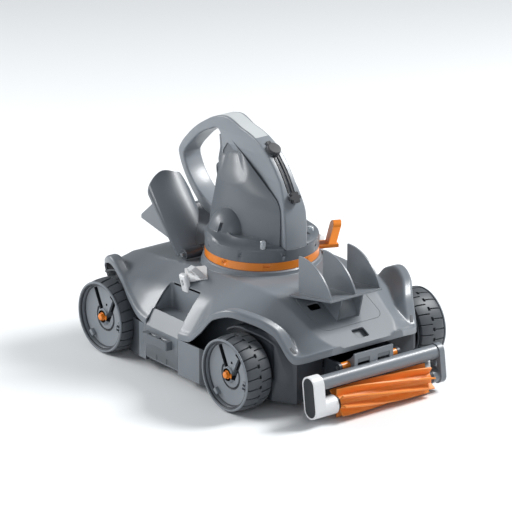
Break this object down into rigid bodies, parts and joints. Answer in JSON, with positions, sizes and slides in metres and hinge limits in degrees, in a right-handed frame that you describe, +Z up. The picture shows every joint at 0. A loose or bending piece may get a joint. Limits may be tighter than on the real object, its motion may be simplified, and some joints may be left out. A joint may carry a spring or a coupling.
{
  "type": "pool cleaner",
  "caption": "Cordless wheeled pool cleaner with a lift-off handled power head, helical front brush, hood fins and a hinged tail deflector.",
  "frame": {"origin": "on the floor, under the middle of the overall box", "axes": "+Z up, -Y towards the brush, +X to the right as seen from the front"},
  "size_m": [0.364, 0.494, 0.352],
  "materials": {
    "grey_body": "satin moulded grey ABS",
    "dark_hull": "moulded dark grey",
    "tyre_rubber": "matte dark grey tread",
    "wheel_grey": "moulded mid grey",
    "orange": "moulded orange",
    "orange_rubber": "soft orange vanes",
    "white_plastic": "moulded white",
    "pale_grey": "moulded pale grey",
    "black_rubber": "soft black rubber",
    "steel": "stainless",
    "clear_lens": "clear moulded",
    "battery": "wrapped cells",
    "board": "circuit board",
    "motor_case": "plated case",
    "inner_plastic": "moulded"
  },
  "bodies": {
    "chassis": {"upper_shell": "grey_body", "hood_panel": "grey_body", "fin_wing": "grey_body", "lower_hull": "dark_hull", "hull_screws": "steel", "filter_basket": "dark_hull", "wheel_axles": "steel", "cleat_left": "pale_grey", "cleat_right": "pale_grey", "hinge_pins": "steel", "neck_seal": "black_rubber", "pin_bushes": "orange"},
    "lock_ring": {"lock_ring": "orange"},
    "head": {"head_base": "grey_body", "head_screws": "steel", "handle_frame": "grey_body", "handle_insert": "white_plastic", "cap_strap": "black_rubber", "strap_anchor": "black_rubber", "charge_socket": "inner_plastic", "sail_left": "grey_body", "sail_right": "grey_body", "status_lens": "clear_lens", "motor_cover": "inner_plastic", "battery_pack": "battery", "circuit_board": "board", "pump_motor": "motor_case"},
    "charge_cap": {"charge_cap": "black_rubber"},
    "power_button": {"power_button": "clear_lens"},
    "impeller": {"motor_shaft": "steel", "impeller": "inner_plastic"},
    "brush_carrier": {"brush_carrier": "grey_body", "brush_arm_left": "white_plastic", "brush_arm_cap": "black_rubber", "brush_arm_right": "grey_body", "brush_collars": "black_rubber"},
    "brush": {"brush_core": "white_plastic", "brush_vanes": "orange_rubber"},
    "tail": {"tail_tubes": "black_rubber", "tail_petal_left": "grey_body", "tail_petal_right": "grey_body", "tail_plate": "grey_body"},
    "inlet_flap_left": {"inlet_flap_left": "dark_hull"},
    "inlet_flap_right": {"inlet_flap_right": "dark_hull"},
    "door_left": {"side_door_left": "grey_body", "door_grip_left": "grey_body"},
    "door_right": {"side_door_right": "grey_body", "door_grip_right": "grey_body"},
    "wheel_front_left": {"tyre_front_left": "tyre_rubber", "wheel_front_left": "wheel_grey", "hub_cap_front_left": "orange"},
    "wheel_front_right": {"tyre_front_right": "tyre_rubber", "wheel_front_right": "wheel_grey", "hub_cap_front_right": "orange"},
    "wheel_rear_left": {"tyre_rear_left": "tyre_rubber", "wheel_rear_left": "wheel_grey", "hub_cap_rear_left": "orange"},
    "wheel_rear_right": {"tyre_rear_right": "tyre_rubber", "wheel_rear_right": "wheel_grey", "hub_cap_rear_right": "orange"}
  },
  "joints": [
    {"name": "lock_ring_turn", "type": "hinge", "parent": "chassis", "child": "lock_ring", "pos_m": [0, 0.04, 0.165], "axis": [0, 0, 1], "range_deg": [0, 25]},
    {"name": "head_lift", "type": "slide", "parent": "chassis", "child": "head", "axis": [0, 0, 1], "range_m": [0, 0.13]},
    {"name": "charge_cap_pull", "type": "slide", "parent": "head", "child": "charge_cap", "axis": [0, -0.5446, 0.8387], "range_m": [0, 0.008]},
    {"name": "power_button_press", "type": "slide", "parent": "head", "child": "power_button", "axis": [0, 0, -1], "range_m": [0, 0.002], "stiffness_N_per_m": 400},
    {"name": "impeller_spin", "type": "hinge", "parent": "head", "child": "impeller", "pos_m": [0, 0.04, 0.105], "axis": [0, 0, 1], "continuous": true},
    {"name": "brush_carrier_tilt", "type": "hinge", "parent": "chassis", "child": "brush_carrier", "pos_m": [0, -0.206, 0.067], "axis": [-1, 0, 0], "range_deg": [0, 15]},
    {"name": "brush_spin", "type": "hinge", "parent": "brush_carrier", "child": "brush", "pos_m": [0.01, -0.2255, 0.0235], "axis": [1, 0, 0], "continuous": true},
    {"name": "tail_lift", "type": "hinge", "parent": "chassis", "child": "tail", "pos_m": [0, 0.115, 0.1525], "axis": [1, 0, 0], "range_deg": [0, 20]},
    {"name": "inlet_flap_left_open", "type": "hinge", "parent": "chassis", "child": "inlet_flap_left", "pos_m": [-0.046, -0.108, 0.0202], "axis": [-1, 0, 0], "range_deg": [0, 50]},
    {"name": "inlet_flap_right_open", "type": "hinge", "parent": "chassis", "child": "inlet_flap_right", "pos_m": [0.046, -0.108, 0.0202], "axis": [-1, 0, 0], "range_deg": [0, 50]},
    {"name": "door_left_open", "type": "hinge", "parent": "chassis", "child": "door_left", "pos_m": [-0.1643, 0.058, 0.0217], "axis": [0, -1, 0], "range_deg": [0, 30]},
    {"name": "door_right_open", "type": "hinge", "parent": "chassis", "child": "door_right", "pos_m": [0.1643, 0.058, 0.0217], "axis": [0, 1, 0], "range_deg": [0, 30]},
    {"name": "wheel_front_left_roll", "type": "hinge", "parent": "chassis", "child": "wheel_front_left", "pos_m": [-0.1585, -0.108, 0.055], "axis": [1, 0, 0], "continuous": true},
    {"name": "wheel_front_right_roll", "type": "hinge", "parent": "chassis", "child": "wheel_front_right", "pos_m": [0.1585, -0.108, 0.055], "axis": [1, 0, 0], "continuous": true},
    {"name": "wheel_rear_left_roll", "type": "hinge", "parent": "chassis", "child": "wheel_rear_left", "pos_m": [-0.1585, 0.192, 0.055], "axis": [1, 0, 0], "continuous": true},
    {"name": "wheel_rear_right_roll", "type": "hinge", "parent": "chassis", "child": "wheel_rear_right", "pos_m": [0.1585, 0.192, 0.055], "axis": [1, 0, 0], "continuous": true}
  ]
}
